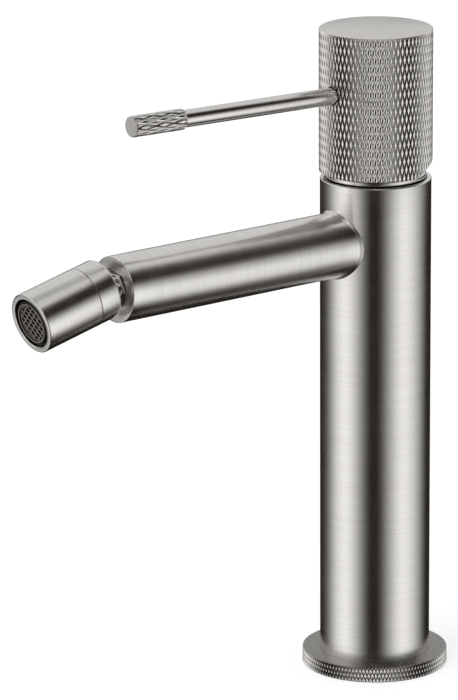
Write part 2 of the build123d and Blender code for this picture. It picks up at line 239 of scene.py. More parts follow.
@dataclass(frozen=True)
class TurnedMetal:
    """Metal with the marks of a brush or a cutting tool running round its axis, sizes in mm."""

    name: str
    light: Colour
    dark: Colour
    roughness: float
    roughness_swing: float = 0.08
    anisotropy: float = 0.0
    mark_length: float = 9.0
    mark_width: float = 0.16
    mark_depth: float = 0.0015
    cloud_size: float = 14.0
    broad_length: float = 4.0
    broad_width: float = 6.0
    fine_share: float = 0.7
    broad_share: float = 0.15
    cloud_share: float = 0.15
    tone_low: float = 0.36
    tone_high: float = 0.64
    groove_crest: float = 0.0
    groove_depth: float = 0.2
    # Painted shade in the knurl grooves: where it starts, how strong and how dark it is, and the
    # extra roughness that goes with it.
    groove_shade_start: float = 0.15
    groove_shade_strength: float = 0.6
    groove_shade_dark: float = 0.3
    groove_shade_roughness: float = 0.12

    def build(self, turning: Turning = UPRIGHT, suffix: str = "") -> bpy.types.Material:
        """Makes the material.

        Args:
            turning: the axis that the marks run round.
            suffix: added to the name where several axes need their own copy.

        Returns:
            The material.
        """
        material, graph = new_material(self.name + suffix)
        place = graph.node("TexCoord", {}, {}, "Object")
        length, width = self.mark_length, self.mark_width
        streaks = turning.streaks(graph, place, length, width)
        marks = graph.noise(streaks, scale=1.0, detail=3.0, roughness=0.6)
        length, width = self.broad_length * length, self.broad_width * width
        streaks = turning.streaks(graph, place, length, width)
        broad = graph.noise(streaks, scale=1.0, detail=2.0)
        clouds = graph.noise(place, 1 / (self.cloud_size * MM), detail=2.0)
        tone = self.fine_share * marks + self.broad_share * broad + self.cloud_share * clouds
        lightness = graph.smooth(tone, self.tone_low, self.tone_high)
        colour = graph.blend(lightness, self.dark, self.light)
        rough = self.roughness + self.roughness_swing * (marks + clouds - 1)
        # Painted shade: below the crest the grooves turn darker towards their bottom, and also
        # rougher.
        if self.groove_crest:
            depth = self.groove_crest - turning.split(graph, place)[2] / MM
            groove_shade = graph.smooth(depth, self.groove_shade_start * self.groove_depth, self.groove_depth)
            black = tuple(self.groove_shade_dark * c for c in self.dark)
            colour = graph.blend(self.groove_shade_strength * groove_shade, colour, black)
            rough = rough + self.groove_shade_roughness * groove_shade
        relief = {"Strength": 0.5, "Distance": self.mark_depth * MM, "Height": marks}
        values = {
            "Base Color": colour,
            "Metallic": 1.0,
            "Roughness": rough,
            "Anisotropic": self.anisotropy,
            "Anisotropic Rotation": 0.25,
            "Normal": graph.node("Bump", {}, relief),
        }
        graph.surface("BsdfPrincipled", values)
        return material


@dataclass(frozen=True)
class Moulded:
    """Plastic, rubber or ceramic, with a fine grain and a few paler or darker specks."""

    name: str
    colour: Colour
    speck: Colour
    roughness: float
    grain: float = 0.25
    grain_depth: float = 0.01
    coat: float = 0.0
    specular: float = 0.5
    cloud_size: float = 24.0
    speck_low: float = 0.58
    speck_high: float = 0.74
    speck_share: float = 0.6
    cloud_share: float = 0.4
    roughness_swing: float = 0.12

    def build(self) -> bpy.types.Material:
        """Makes the material.

        Returns:
            The material.
        """
        material, graph = new_material(self.name)
        place = graph.node("TexCoord", {}, {}, "Object")
        grain = graph.noise(place, 1 / (self.grain * MM), detail=3.0, roughness=0.6)
        clouds = graph.noise(place, 1 / (self.cloud_size * self.grain * MM), detail=2.0)
        specks = graph.smooth(grain, self.speck_low, self.speck_high)
        factor = self.speck_share * specks + self.cloud_share * clouds
        relief = {"Strength": 0.4, "Distance": self.grain_depth * MM, "Height": grain}
        values = {
            "Base Color": graph.blend(factor, self.colour, self.speck),
            "Roughness": self.roughness + self.roughness_swing * (clouds + grain - 1),
            "Coat Weight": self.coat,
            "Specular IOR Level": self.specular,
            "Normal": graph.node("Bump", {}, relief),
        }
        graph.surface("BsdfPrincipled", values)
        return material


NICKEL_LIGHT: Colour = (0.9, 0.88, 0.857)
NICKEL_DARK: Colour = (0.82, 0.795, 0.766)


def knurled(name: str, crest: float, depth: float) -> TurnedMetal:
    """Bright nickel whose grooves, cut so deep below the crest's radius, are darkened with painted
    shade.
    """
    return TurnedMetal(
        name, NICKEL_LIGHT, NICKEL_DARK, 0.1, roughness_swing=0.04, mark_length=1.2,
        mark_width=0.3, mark_depth=0.0005, groove_crest=crest, groove_depth=depth,
    )


class Finish(Enum):
    """The finishes of the mixer, each shared by every piece that wears it."""

    BRUSHED = TurnedMetal(
        "brushed_nickel", (0.93, 0.912, 0.89), (0.84, 0.816, 0.788), 0.24, anisotropy=0.65,
        mark_length=24.0, mark_width=0.3, mark_depth=0.0016,
    )
    FACED = TurnedMetal(
        "faced_nickel", NICKEL_LIGHT, NICKEL_DARK, 0.33, anisotropy=0.2, mark_length=4.0,
        mark_width=0.3,
    )
    # Darker nickel that paints shade: on the base ring's top it stands in for the column's dark
    # reflection, and in the channel at the tube's mouth it stands in for the shade there.
    RING_TOP = TurnedMetal(
        "painted_shade_nickel", (0.31, 0.298, 0.282), (0.25, 0.238, 0.223), 0.2, anisotropy=0.3,
        mark_length=6.0, mark_width=0.25, mark_depth=0.003,
    )
    DRAWN = TurnedMetal(
        "drawn_nickel", NICKEL_LIGHT, NICKEL_DARK, 0.18, roughness_swing=0.04, anisotropy=0.6,
        mark_depth=0.0006,
    )
    KNURLED_KNOB = knurled("knurled_nickel", 17.3, 0.3)
    KNURLED_RING = knurled("knurled_ring_nickel", 22.5, 0.36)
    KNURLED_GRIP = knurled("knurled_grip_nickel", 3.2, 0.24)
    POLISHED = TurnedMetal(
        "polished_nickel", (0.84, 0.82, 0.79), (0.78, 0.755, 0.72), 0.13, roughness_swing=0.04,
        mark_depth=0.0004,
    )
    BRASS = TurnedMetal(
        "machined_brass", (0.86, 0.68, 0.34), (0.72, 0.53, 0.23), 0.27, mark_length=14.0,
        mark_width=0.22, mark_depth=0.004,
    )
    COPPER = TurnedMetal(
        "drawn_copper", (0.90, 0.58, 0.42), (0.74, 0.43, 0.29), 0.3, mark_length=3.0,
        mark_width=1.6, mark_depth=0.002,
    )
    STEEL = TurnedMetal(
        "machined_steel", (0.66, 0.65, 0.63), (0.52, 0.51, 0.49), 0.28, mark_length=6.0,
        mark_width=0.2, mark_depth=0.003,
    )
    RUBBER = Moulded(
        "moulded_rubber", (0.022, 0.022, 0.023), (0.06, 0.06, 0.06), 0.62, 0.12, 0.02
    )
    CERAMIC = Moulded(
        "lapped_ceramic", (0.86, 0.85, 0.81), (0.94, 0.93, 0.9), 0.16, 0.3, 0.0015, 0.4
    )
    CARTRIDGE = Moulded(
        "moulded_cartridge", (0.80, 0.80, 0.77), (0.88, 0.88, 0.85), 0.45, 0.2, 0.008
    )
    JOINT = Moulded("moulded_joint", (0.055, 0.055, 0.056), (0.11, 0.11, 0.11), 0.4, 0.2, 0.008)
    AERATOR = Moulded(
        "moulded_aerator", (0.008, 0.0077, 0.007), (0.02, 0.0185, 0.017), 0.42, 0.15, 0.01,
        specular=0.2,
    )
    LATTICE = Moulded(
        "moulded_lattice", (0.2, 0.178, 0.16), (0.3, 0.27, 0.245), 0.36, 0.15, 0.01
    )

    def material(self) -> bpy.types.Material:
        """The finish's material, made once."""
        return bpy.data.materials.get(self.value.name) or self.value.build()


# Mesh making


@dataclass(frozen=True)
class Corner:
    """A corner of a turned outline, in mm: radius, height, rounding, and if it is a hexagon."""

    r: float
    z: float
    round: float = 0.0
    six_sided: bool = False


Spot = tuple[float, ...]  # what a Corner is made of
Face = bpy.types.MeshPolygon


class Shape:
    """Vertices in mm and faces, gathered before they become a mesh."""

    def __init__(self) -> None:
        """Starts empty."""
        self.points: list[Point] = []
        self.faces: list[tuple[int, ...]] = []

    def add(self, points: Sequence[Point]) -> list[int]:
        """Adds points.

        Args:
            points: the points.

        Returns:
            Their numbers.
        """
        first = len(self.points)
        self.points.extend(points)
        return list(range(first, len(self.points)))

    def bridge(self, a: list[int], b: list[int]) -> None:
        """Joins two closed rings, of which either may be a single point.

        Args:
            a: the numbers of the first ring's points.
            b: the numbers of the second ring's points.
        """
        count = max(len(a), len(b))
        if count == 1:
            return
        for i in range(count):
            j = (i + 1) % count
            if len(a) == 1:
                self.faces.append((a[0], b[j], b[i]))
            elif len(b) == 1:
                self.faces.append((a[i], a[j], b[0]))
            else:
                self.faces.append((a[i], a[j], b[j], b[i]))

    def mesh(self, name: str) -> bpy.types.Mesh:
        """Makes a clean mesh with outward faces.

        Args:
            name: the mesh's name.

        Returns:
            The mesh, in metres.
        """
        made = bpy.data.meshes.new(name)
        made.from_pydata([tuple(c * MM for c in p) for p in self.points], [], self.faces)
        return finished_mesh(made)


def finished_mesh(mesh: bpy.types.Mesh) -> bpy.types.Mesh:
    """Merges doubles, turns the faces outwards and shades by angle.

    Args:
        mesh: the mesh.

    Returns:
        The same mesh.
    """
    bm = bmesh.new()
    bm.from_mesh(mesh)
    bmesh.ops.remove_doubles(bm, verts=bm.verts, dist=1e-7)
    bmesh.ops.dissolve_degenerate(bm, edges=bm.edges, dist=1e-8)
    bmesh.ops.recalc_face_normals(bm, faces=bm.faces)
    bm.to_mesh(mesh)
    bm.free()
    mesh.polygons.foreach_set("use_smooth", [True] * len(mesh.polygons))
    mesh.set_sharp_from_angle(angle=math.radians(CREASE))
    mesh.update()
    return mesh


def rounded(corners: Sequence[Corner], closed: bool) -> list[Corner]:
    """Replaces each rounded corner of an outline by an arc of a few points.

    Args:
        corners: the outline.
        closed: whether it returns to its start.

    Returns:
        The new outline.
    """
    out: list[Corner] = []
    count = len(corners)
    for i, corner in enumerate(corners):
        ends = not closed and i in (0, count - 1)
        if corner.round <= 0 or ends:
            out.append(corner)
            continue
        here = Vector((corner.r, corner.z))
        before, after = corners[i - 1], corners[(i + 1) % count]
        to_a = (Vector((before.r, before.z)) - here).normalized()
        to_b = (Vector((after.r, after.z)) - here).normalized()
        half = to_a.angle(to_b) / 2
        reach = corner.round / math.tan(half)
        centre = here + (to_a + to_b).normalized() * (corner.round / math.sin(half))
        start = here + to_a * reach - centre
        end = here + to_b * reach - centre
        for k in range(ARC_STEPS + 1):
            share = k / ARC_STEPS
            spot = centre + (start * (1 - share) + end * share).normalized() * corner.round
            out.append(Corner(spot.x, spot.y, 0.0, corner.six_sided))
    return out


def turned(outline: Sequence[Spot], segments: int = SIDES, closed: bool = True) -> Shape:
    """A body turned about Z.

    Args:
        outline: its corners, where a radius of zero lies on the axis.
        segments: how many sides it has.
        closed: whether the outline returns to its start, as on a tube.

    Returns:
        The shape.
    """
    shape = Shape()
    rings: list[list[int]] = []
    sixth = math.pi / 3
    for corner in rounded([Corner(*spot) for spot in outline], closed):
        if corner.r < ON_AXIS:
            rings.append(shape.add([(0.0, 0.0, corner.z)]))
            continue
        ring = []
        for i in range(segments):
            angle = 2 * math.pi * i / segments
            r = corner.r
            if corner.six_sided:
                r *= math.cos(sixth / 2) / math.cos(angle % sixth - sixth / 2)
            ring.append((r * math.cos(angle), r * math.sin(angle), corner.z))
        rings.append(shape.add(ring))
    for a, b in zip(rings, rings[1:]):
        shape.bridge(a, b)
    if closed:
        shape.bridge(rings[-1], rings[0])
    return shape


def plain_bar(radius: float, low: float, high: float, segments: int) -> bpy.types.Mesh:
    """A round bar along Z, for cutting or to be cut."""
    outline = ((0, low), (radius, low), (radius, high), (0, high))
    return turned(outline, segments, closed=False).mesh("bar")


def ball_arc(radius: float, centre: float, first: float, last: float, steps: int) -> list[Spot]:
    """Part of a ball's outline, between two angles from its top in radians."""
    turns = [first + (last - first) * k / steps for k in range(steps + 1)]
    return [(radius * math.sin(turn), centre + radius * math.cos(turn)) for turn in turns]


def extruded(outline: Sequence[tuple[float, float]], half_width: float) -> Shape:
    """A prism along X.

    Args:
        outline: its (y, z) corners, in mm.
        half_width: half its length.

    Returns:
        The shape.
    """
    shape = Shape()
    left = shape.add([(-half_width, y, z) for y, z in outline])
    right = shape.add([(half_width, y, z) for y, z in outline])
    shape.bridge(left, right)
    shape.faces += [tuple(reversed(left)), tuple(right)]
    return shape


@dataclass(frozen=True)
class Knurl:
    """Crossed V grooves that leave flat-topped diamonds on a round bar, in mm."""

    around: int
    pitch: float
    land_share: float
    depth: float
    row_height: float  # the middle of one row of diamonds
    chamfer_share: float = 0.03

    def bar(self, radius: float, low: float, high: float) -> Shape:
        """A knurled bar with flat ends.

        Args:
            radius: its radius over the diamonds.
            low: the height of its lower end.
            high: the height of its upper end.

        Returns:
            The shape, cut square at both ends.
        """
        shape = Shape()
        groove = (1 - self.land_share) / 2
        soft = self.chamfer_share
        breaks = (0.0, groove - soft, groove + soft, 0.5, 1 - groove - soft, 1 - groove + soft, 1.0)
        sunk = soft / groove * self.depth
        depths = (self.depth, sunk, 0.0, 0.0, 0.0, sunk, self.depth)
        half = self.pitch / 2
        first = math.floor((low - self.row_height) / half) - 1
        last = math.ceil((high - self.row_height) / half) + 1
        for row in range(first, last + 1):
            for column in range(self.around):
                middle = 2 * math.pi * (column + (row % 2) / 2) / self.around
                height = self.row_height + row * half
                grid = []
                for a, depth_a in zip(breaks, depths):
                    for b, depth_b in zip(breaks, depths):
                        angle = middle + math.pi / self.around * (a - b)
                        r = radius - max(depth_a, depth_b)
                        z = height + half * (a + b - 1)
                        grid.append((r * math.cos(angle), r * math.sin(angle), z))
                self._diamond(shape, shape.add(grid), len(breaks))
        return self._squared(shape, low, high)

    @staticmethod
    def _diamond(shape: Shape, numbers: list[int], size: int) -> None:
        """Adds the faces of one diamond, split along its ridges.

        Args:
            shape: what they are added to.
            numbers: the diamond's points, row by row.
            size: how many points a row has.
        """
        for i in range(size - 1):
            for j in range(size - 1):
                p, q = numbers[i * size + j], numbers[(i + 1) * size + j]
                s, t = numbers[(i + 1) * size + j + 1], numbers[i * size + j + 1]
                if i == j:
                    shape.faces += [(p, q, s), (p, s, t)]
                elif i + j == size - 2:
                    shape.faces += [(p, q, t), (q, s, t)]
                else:
                    shape.faces.append((p, q, s, t))

    @staticmethod
    def _squared(shape: Shape, low: float, high: float) -> Shape:
        """Cuts the lattice at both heights and closes the ends.

        Args:
            shape: the lattice of diamonds.
            low: the height of the lower cut.
            high: the height of the upper cut.

        Returns:
            The closed shape.
        """
        mesh = bpy.data.meshes.new("knurl")
        mesh.from_pydata(shape.points, [], shape.faces)
        bm = bmesh.new()
        bm.from_mesh(mesh)
        bpy.data.meshes.remove(mesh)
        bmesh.ops.remove_doubles(bm, verts=bm.verts, dist=1e-4)
        for height, side in ((low, -1.0), (high, 1.0)):
            cut = bmesh.ops.bisect_plane(
                bm, geom=[*bm.verts, *bm.edges, *bm.faces], dist=1e-5, plane_co=(0, 0, height),
                plane_no=(0, 0, side), clear_outer=True,
            )
            rim = [e for e in cut["geom_cut"] if isinstance(e, bmesh.types.BMEdge)]
            middle = bm.verts.new((0, 0, height))
            for edge in rim:
                bm.faces.new((*edge.verts, middle))
        bmesh.ops.recalc_face_normals(bm, faces=bm.faces)
        bm.verts.index_update()
        out = Shape()
        out.points = [tuple(v.co) for v in bm.verts]
        out.faces = [tuple(v.index for v in f.verts) for f in bm.faces]
        bm.free()
        return out


class Carve(Enum):
    """What one solid does to another."""

    CUT = "DIFFERENCE"
    KEEP = "INTERSECT"


def placed(name: str, data: bpy.types.ID) -> bpy.types.Object:
    """Puts a mesh, light or camera into the scene.

    Args:
        name: the object's name.
        data: what it shows.

    Returns:
        The object.
    """
    made = bpy.data.objects.new(name, data)
    bpy.context.scene.collection.objects.link(made)
    return made


def carved(base: bpy.types.Mesh, *steps: tuple[Carve, bpy.types.Mesh]) -> bpy.types.Mesh:
    """Carves a solid with others, all in the same frame.

    Args:
        base: the mesh that is carved.
        steps: what is done, with which mesh, in order.

    Returns:
        The new mesh.
    """
    body = placed("carving", base)
    tools = []
    for i, (how, mesh) in enumerate(steps):
        tools.append(placed(f"carver_{i}", mesh))
        modifier = body.modifiers.new(f"carve_{i}", "BOOLEAN")
        modifier.operation = how.value
        modifier.object = tools[-1]
        modifier.solver = "EXACT"
    bpy.context.view_layer.update()
    evaluated = body.evaluated_get(bpy.context.evaluated_depsgraph_get())
    made = bpy.data.meshes.new_from_object(evaluated)
    for item in (body, *tools):
        bpy.data.objects.remove(item)
    return finished_mesh(made)


# Sub-assemblies


@dataclass(frozen=True)
class Frame:
    """Where a piece's own axis lies: its origin in mm and its direction. X stays the scene's."""

    origin: Point = (0.0, 0.0, 0.0)
    along: Point = (0.0, 0.0, 1.0)

    def matrix(self) -> Matrix:
        """Works out the frame as a matrix.

        Returns:
            The matrix, in metres.
        """
        x = Vector((1, 0, 0))
        z = Vector(self.along).normalized()
        turn = Matrix((x, z.cross(x), z)).transposed().to_4x4()
        return Matrix.Translation(Vector(self.origin) * MM) @ turn

    def turning(self) -> Turning:
        """The same axis for a finish on a CAD node."""
        return Turning(self.origin, self.along)


class Assembly:
    """A group of pieces on one axis, with the means to place and dress them."""

    body = "column"
    axis = Frame()

    def piece(
        self,
        name: str,
        mesh: bpy.types.Mesh,
        finish: Finish,
        node: str,
        slot: str = "nickel",
    ) -> bpy.types.Object:
        """Places a finished mesh as a piece of the mixer.

        Args:
            name: the piece's name.
            mesh: its mesh, in the assembly's frame.
            finish: what it is dressed in.
            node: the CAD node that it stands for.
            slot: not used.

        Returns:
            The object.
        """
        made = placed(name, mesh)
        made.matrix_world = self.axis.matrix()
        mesh.materials.append(finish.material())
        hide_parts(node)
        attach(made, self.body)
        log.info("%s rides on %s, %d faces", name, self.body, len(mesh.polygons))
        return made

    def refinish(
        self, piece: bpy.types.Object, finish: Finish, chosen: Callable[[Face], bool]
    ) -> None:
        """Gives some of a piece's faces a second finish.

        Args:
            piece: the piece.
            finish: the second finish.
            chosen: tells whether a face has it.
        """
        piece.data.materials.append(finish.material())
        for face in piece.data.polygons:
            if chosen(face):
                face.material_index = len(piece.data.materials) - 1

    def dress(self, finish: Finish, *nodes: str, axis: Frame | None = None) -> None:
        """Gives CAD nodes that keep their shape a finish.

        Args:
            finish: the finish.
            nodes: the nodes.
            axis: what its marks run round, if that isn't the column's axis.
        """
        for node in nodes:
            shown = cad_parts[node]
            material = finish.material()
            if axis is not None:
                material = finish.value.build(axis.turning(), "_" + node)
            if shown.material_slots:
                for slot in shown.material_slots:
                    slot.material = material
            else:
                shown.data.materials.append(material)
            log.info("%s keeps its shape and is dressed in %s", node, material.name)


@dataclass
class Foot(Assembly):
    """The knurled base ring, its gasket and the threaded block in the column's foot."""

    ring_r: float = 22.5
    ring_height: float = 4.7
    ring_bevel: float = 0.28
    ring_lip: float = 1.5
    lip_r: float = 14.05
    tube_room: float = 17.05
    gasket_outer: float = 20.65
    gasket_inner: float = 17.95
    gasket_thick: float = 1.2
    knurl: Knurl = Knurl(126, 3.0, 0.3, 0.36, 3.4)
    bevel_rise: float = 0.3
    sides: int = 252

    def build(self) -> None:
        """Makes the ring and dresses the rest."""
        blank = turned(
            (
                (self.lip_r, 0), (self.gasket_inner, 0),
                (self.gasket_inner, self.gasket_thick), (self.gasket_outer, self.gasket_thick),
                (self.gasket_outer, 0), (self.ring_r, 0, self.ring_bevel),
                (self.ring_r, self.ring_height, self.ring_bevel),
                (self.tube_room, self.ring_height), (self.tube_room, self.ring_lip),
                (self.lip_r, self.ring_lip),
            ),
            segments=self.sides,
        ).mesh("blank")
        bar = self.knurl.bar(self.ring_r, -OVERCUT, self.ring_height + OVERCUT).mesh("bar")
        mesh = carved(bar, (Carve.KEEP, blank))
        ring = self.piece("base_ring_knurled", mesh, Finish.KNURLED_RING, "base_ring")
        top = (self.ring_height - FLUSH) * MM
        rise = self.bevel_rise
        self.refinish(ring, Finish.DRAWN, lambda f: f.center.z < top and f.normal.z > rise)
        # Painted shade: the ring's top gets the darker nickel in place of the column's dark
        # reflection.
        self.refinish(ring, Finish.RING_TOP, lambda f: f.center.z > top)
        self.dress(Finish.RUBBER, "base_gasket", "riser_seals")
        self.dress(Finish.BRASS, "foot_block")
        self.dress(Finish.COPPER, "riser_cold", "riser_hot")


@dataclass
class Column(Assembly):
    """The upright tube with its collar, and the valve block inside."""

    outer_r: float = 17.0
    bore_r: float = 14.0
    foot: float = 1.5
    top: float = 155.3
    rim: float = 0.35
    mouth_r: float = 15.69
    mouth_edge: float = 0.1
    mouth_floor: float = 154.0
    spout_z: float = 136.4
    nipple_hole_r: float = 6.3
    nipple_margin: float = 1.6
    nipple_reach: float = 20.0
    collar_r: float = 15.34
    collar_bore: float = 12.4
    collar_top: float = 156.9
    collar_edge: float = 0.3
    collar_under_edge: float = 0.08
    undercut_r: float = 14.7
    undercut_top: float = 155.75
    dome_r: float = 13.0
    dome_top: float = 162.3
    dome_under: float = 161.7
    dome_hole: float = 8.8
    dome_hole_edge: float = 0.15
    dome_edge: float = 0.5
    channel_slack: float = 0.02
    sides: int = 256

    def build(self) -> None:
        """Makes the tube and the collar, and dresses the rest."""
        mesh = carved(self._tube(), (Carve.CUT, self._drill()))
        shown = self.piece("body_tube_brushed", mesh, Finish.BRUSHED, "body_tube")
        # Painted shade: the channel inside the tube's mouth takes the darker nickel.
        self.refinish(shown, Finish.RING_TOP, lambda f: self._in_channel(f, self.mouth_r))
        collar = turned(
            (
                (self.collar_bore, self.mouth_floor), (self.undercut_r, self.mouth_floor),
                (self.undercut_r, self.undercut_top),
                (self.collar_r, self.undercut_top, self.collar_under_edge),
                (self.collar_r, self.collar_top, self.collar_edge),
                (self.dome_r, self.collar_top), (self.dome_r, self.dome_top, self.dome_edge),
                (self.dome_hole, self.dome_top, self.dome_hole_edge),
                (self.dome_hole, self.dome_under), (self.collar_bore, self.dome_under),
            )
        ).mesh("collar")
        shown = self.piece("neck_ring_brushed", collar, Finish.BRUSHED, "neck_ring")
        # Painted shade: the collar's undercut in the same channel takes the darker nickel too.
        self.refinish(shown, Finish.RING_TOP, lambda f: self._in_channel(f, self.undercut_r))
        self.dress(Finish.BRASS, "valve_block", "retaining_nut")

    def _tube(self) -> bpy.types.Mesh:
        """Makes the tube, with a ring of edges above and below the spout's hole.

        Returns:
            The mesh.
        """
        above = self.spout_z + self.nipple_hole_r + self.nipple_margin
        below = self.spout_z - self.nipple_hole_r - self.nipple_margin
        return turned(
            (
                (self.bore_r, self.foot), (self.outer_r, self.foot), (self.outer_r, below),
                (self.outer_r, above), (self.outer_r, self.top, self.rim),
                (self.mouth_r, self.top, self.mouth_edge), (self.mouth_r, self.mouth_floor),
                (self.bore_r, self.mouth_floor), (self.bore_r, above), (self.bore_r, below),
            ),
            segments=self.sides,
        ).mesh("tube")

    def _drill(self) -> bpy.types.Mesh:
        """Makes the cutter for the hole that the spout's nipple passes.

        Returns:
            The mesh.
        """
        drill = plain_bar(self.nipple_hole_r, 0, self.nipple_reach, HOLE_SIDES)
        drill.transform(Frame((0, 0, self.spout_z), (0, -1, 0)).matrix())
        return drill

    def _in_channel(self, face: Face, r: float) -> bool:
        """Tells whether a face is in the channel between the tube's rim and the collar, which is
        painted dark as shade.

        Args:
            face: the face.
            r: the radius of the channel's wall on this piece.

        Returns:
            Whether it is.
        """
        inside = math.hypot(face.center.x, face.center.y) < (r + self.channel_slack) * MM
        floor = (self.mouth_floor - self.channel_slack) * MM
        return inside and floor < face.center.z < self.undercut_top * MM


@dataclass
class Spout(Assembly):
    """The level tube, the plug in its end and the stem that carries the ball."""

    axis = Frame((0.0, 0.0, 136.4), (0.0, -1.0, 0.0))
    column_r: float = 17.0
    outer_r: float = 10.0
    bore_r: float = 8.5
    reach: float = 99.8
    edge: float = 0.2
    bays: int = 10
    root_length: float = 3.0
    fillet: tuple[tuple[float, float], ...] = (
        (0.0, 0.2), (0.15, 0.6), (0.3, 0.55), (0.6, 0.25), (1.0, 0.06), (1.4, 0.0)
    )
    plug_r: float = 8.45
    plug_length: float = 10.0
    recess_r: float = 6.3
    recess_depth: float = 2.0
    recess_edge: float = 0.12
    recess_round: float = 0.2
    shank_r: float = 4.5
    shank_room: float = 0.05
    shank_length: float = 8.0
    shank_edge: float = 0.3
    hex_r: float = 5.4
    hex_edge: float = 0.25
    neck_r: float = 3.6
    ball_r: float = 7.0
    ball_reach: float = 108.2
    ball_steps: int = 40
    bore_stem_r: float = 2.0
    flare_r: float = 3.0

    def build(self) -> None:
        """Makes the tube, the plug and the stem, and dresses the rest."""
        tube, stem = self._tube().mesh("tube"), self._stem().mesh("stem")
        self.piece("spout_tube_brushed", tube, Finish.BRUSHED, "spout_tube")
        back = self.reach - self.plug_length
        floor = self.reach - self.recess_depth
        hole = self.shank_r + self.shank_room
        plug = turned(
            (
                (hole, back), (self.plug_r, back), (self.plug_r, self.reach),
                (self.recess_r, self.reach, self.recess_edge),
                (self.recess_r, floor, self.recess_round), (hole, floor),
            )
        ).mesh("plug")
        self.piece("spout_end_faced", plug, Finish.FACED, "spout_end")
        self.piece("ball_stem_polished", stem, Finish.POLISHED, "ball_stem", "bright_nickel")
        self.dress(Finish.BRASS, "spout_nipple", "spout_bush", axis=self.axis)
        self.dress(Finish.RUBBER, "nipple_seal")

    def _ring(self, shape: Shape, r: float, height: float, on_side: bool = False) -> list[int]:
        """Adds a ring of the tube.

        Args:
            shape: what it is added to.
            r: its radius.
            height: how far it is along the spout, or beyond the column's side.
            on_side: whether it follows the column's side.

        Returns:
            The numbers of its points.
        """
        points = []
        for i in range(SIDES):
            angle = 2 * math.pi * i / SIDES
            x = r * math.cos(angle)
            side = math.sqrt(self.column_r**2 - x**2) if on_side else 0.0
            points.append((x, r * math.sin(angle), side + height))
        return shape.add(points)

    def _tube(self) -> Shape:
        """Makes the tube, whose root follows the column's side in a small fillet.

        Returns:
            The shape.
        """
        shape = Shape()
        rings = [self._ring(shape, self.bore_r, 0.0, True)]
        rings += [self._ring(shape, self.outer_r + out, rise, True) for rise, out in self.fillet]
        start, end = self.column_r + self.root_length, self.reach - self.edge
        for k in range(self.bays + 1):
            height = start + (end - start) * k / self.bays
            rings.append(self._ring(shape, self.outer_r, height))
        for k in range(1, ARC_STEPS + 1):
            turn = math.pi / 2 * k / ARC_STEPS
            r = self.outer_r - self.edge * (1 - math.cos(turn))
            rings.append(self._ring(shape, r, self.reach - self.edge * (1 - math.sin(turn))))
        rings.append(self._ring(shape, self.bore_r, self.reach))
        for a, b in zip(rings, rings[1:] + rings[:1]):
            shape.bridge(a, b)
        return shape

    def _stem(self) -> Shape:
        """Makes the hexagon, the neck and the hollow ball in one turned piece.

        Returns:
            The shape.
        """
        floor = self.reach - self.recess_depth
        back = floor - self.shank_length
        first = math.pi - math.asin(self.neck_r / self.ball_r)
        last = math.asin(self.flare_r / self.ball_r)
        return turned(
            (
                (self.bore_stem_r, back), (self.shank_r, back, self.shank_edge),
                (self.shank_r, floor), (self.hex_r, floor, 0.0, True),
                (self.hex_r, self.reach, self.hex_edge, True), (self.neck_r, self.reach),
                *ball_arc(self.ball_r, self.ball_reach, first, last, self.ball_steps),
                (self.bore_stem_r, self.ball_reach + self.ball_r / 2),
            )
        )


@dataclass
class Cartridge(Assembly):
    """The ceramic cartridge, whose pieces keep their CAD shape."""

    pin: Frame = Frame((0.0, 0.0, 166.9), (1.0, 0.0, 0.0001))

    def build(self) -> None:
        """Dresses its pieces."""
        self.dress(Finish.CARTRIDGE, "cartridge_base", "cartridge_shell", "cartridge_turret")
        self.dress(Finish.CARTRIDGE, "disc_carrier")
        self.dress(Finish.CERAMIC, "fixed_disc", "moving_disc")
        self.dress(Finish.RUBBER, "port_seals")
        self.dress(Finish.STEEL, "spindle")
        self.dress(Finish.STEEL, "pivot_pin", axis=self.pin)


@dataclass
class Knob(Assembly):
    """The knurled sleeve and the plain disc on top of it."""

    body = "handle"
    outer_r: float = 17.3
    bore_r: float = 15.8
    low: float = 157.4
    top: float = 201.4
    cap_thick: float = 0.8
    cap_edge: float = 0.3
    cap_sides: int = 288
    edge_rise: tuple[float, float] = (0.15, 0.97)
    bevel_slope: float = 18.5
    bevel_start: float = 1.6
    hole_r: float = 2.92
    knurl: Knurl = Knurl(72, 5.2, 0.52, 0.3, 199.74)
    spare: float = 2.0

    def build(self, lever: Frame) -> None:
        """Makes the sleeve and the cap, and dresses the hub.

        Args:
            lever: the lever's frame, whose hole passes through the sleeve.
        """
        joint = self.top - self.cap_thick
        sleeve = self.knurl.bar(self.outer_r, self.low, joint).mesh("sleeve")
        bore = plain_bar(self.bore_r, self.low - self.spare, joint + self.spare, SIDES)
        hole = plain_bar(self.hole_r, 0, self.outer_r + self.spare, HOLE_SIDES)
        hole.transform(lever.matrix())
        mesh = carved(sleeve, (Carve.CUT, bore), (Carve.CUT, self._wedge()), (Carve.CUT, hole))
        self.piece("knob_sleeve_knurled", mesh, Finish.KNURLED_KNOB, "knob_sleeve")
        rim = self.knurl.bar(self.outer_r, joint, self.top + self.spare).mesh("rim")
        blank = turned(
            (
                (0, joint), (self.outer_r, joint), (self.outer_r, self.top, self.cap_edge),
                (0, self.top),
            ),
            segments=self.cap_sides,
            closed=False,
        ).mesh("blank")
        disc = carved(rim, (Carve.KEEP, blank))
        cap = self.piece("knob_cap_faced", disc, Finish.FACED, "knob_cap")
        flat, steep = self.edge_rise
        self.refinish(cap, Finish.DRAWN, lambda f: flat < f.normal.z < steep)
        self.dress(Finish.BRASS, "knob_hub")
        self.dress(Finish.STEEL, "grub_screw", axis=lever)

    def _wedge(self) -> bpy.types.Mesh:
        """Makes the cutter for the slanted cut at the back of the lower edge.

        Returns:
            The mesh.
        """
        back = self.outer_r + self.spare
        slope = math.tan(math.radians(self.bevel_slope))
        drop = self.bevel_start + self.spare
        outline = (
            (self.bevel_start - drop, self.low - drop * slope),
            (back, self.low - drop * slope - self.spare),
            (back, self.low + (back - self.bevel_start) * slope),
        )
        return extruded(outline, back).mesh("wedge")


